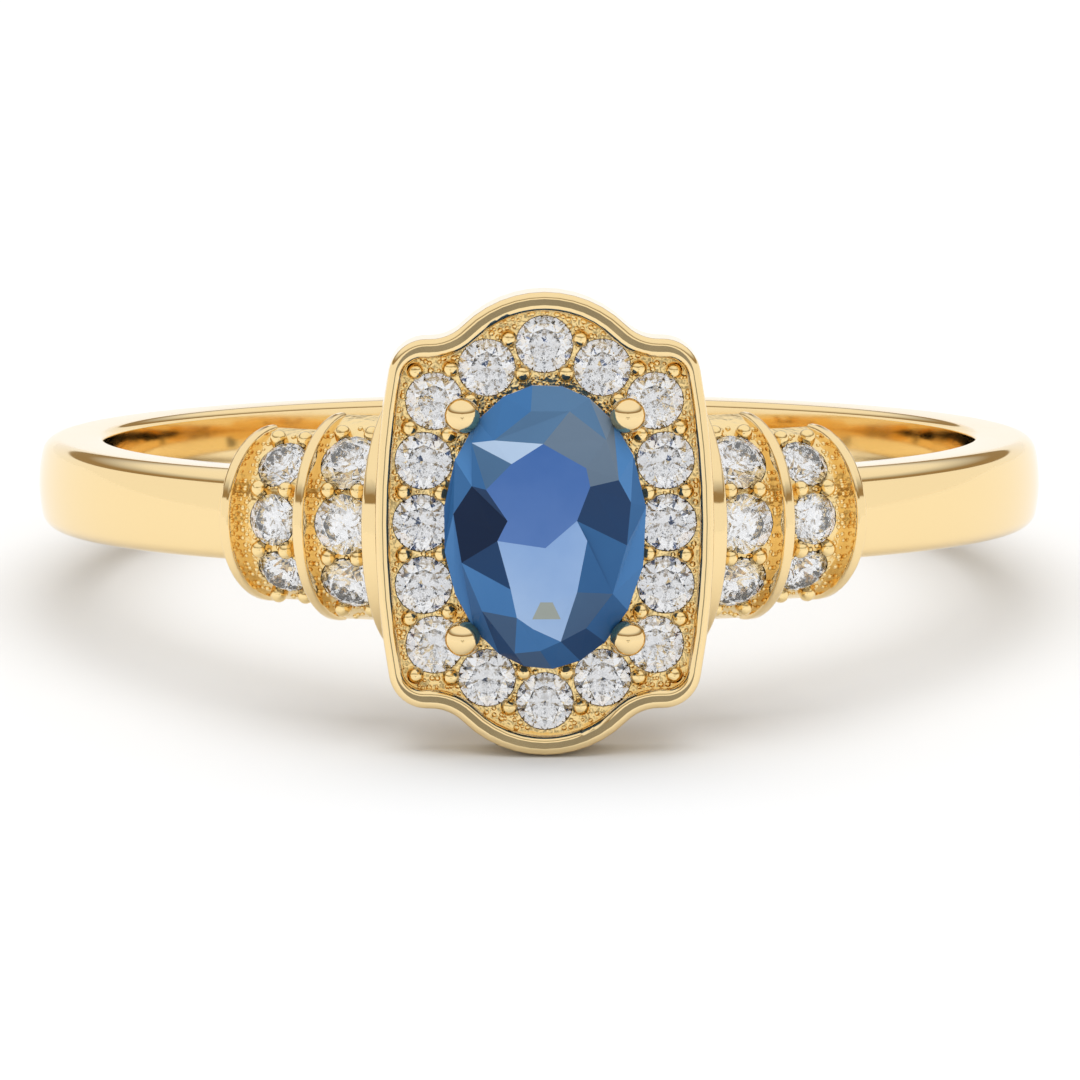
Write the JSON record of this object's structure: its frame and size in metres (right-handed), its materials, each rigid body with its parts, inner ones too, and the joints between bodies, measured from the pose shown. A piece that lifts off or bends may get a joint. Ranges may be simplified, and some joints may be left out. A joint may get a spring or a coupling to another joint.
{
  "type": "engagement ring",
  "caption": "Gold ring with a claw-set oval sapphire, a scalloped diamond halo and stepped pave-set shoulders.",
  "frame": {"origin": "centre of the finger hole", "axes": "+Z along the finger hole's axis, so the ring lies on its side; the head and its stones face -Y; the head's length runs along Z"},
  "size_m": [0.02, 0.0232, 0.009],
  "materials": {
    "gold": "polished yellow gold",
    "sapphire": "faceted blue sapphire",
    "diamond": "faceted colourless diamond"
  },
  "bodies": {
    "root": {"cheek_left": "gold", "cheek_right": "gold", "claw_lower_left": "gold", "claw_lower_right": "gold", "claw_upper_left": "gold", "claw_upper_right": "gold", "collet": "gold", "halo_border": "gold", "halo_diamond_01": "diamond", "halo_diamond_02": "diamond", "halo_diamond_03": "diamond", "halo_diamond_04": "diamond", "halo_diamond_05": "diamond", "halo_diamond_06": "diamond", "halo_diamond_07": "diamond", "halo_diamond_08": "diamond", "halo_diamond_09": "diamond", "halo_diamond_10": "diamond", "halo_diamond_11": "diamond", "halo_diamond_12": "diamond", "halo_diamond_13": "diamond", "halo_diamond_14": "diamond", "halo_diamond_15": "diamond", "halo_diamond_16": "diamond", "halo_plate": "gold", "inner_diamond_left_lower": "diamond", "inner_diamond_left_middle": "diamond", "inner_diamond_left_upper": "diamond", "inner_diamond_right_lower": "diamond", "inner_diamond_right_middle": "diamond", "inner_diamond_right_upper": "diamond", "inner_rib_left": "gold", "inner_rib_right": "gold", "inner_saddle_left": "gold", "inner_saddle_right": "gold", "outer_diamond_left_lower": "diamond", "outer_diamond_left_middle": "diamond", "outer_diamond_left_upper": "diamond", "outer_diamond_right_lower": "diamond", "outer_diamond_right_middle": "diamond", "outer_diamond_right_upper": "diamond", "outer_rib_left": "gold", "outer_rib_right": "gold", "outer_saddle_left": "gold", "outer_saddle_right": "gold", "sapphire": "sapphire", "shank": "gold"}
  },
  "joints": []
}
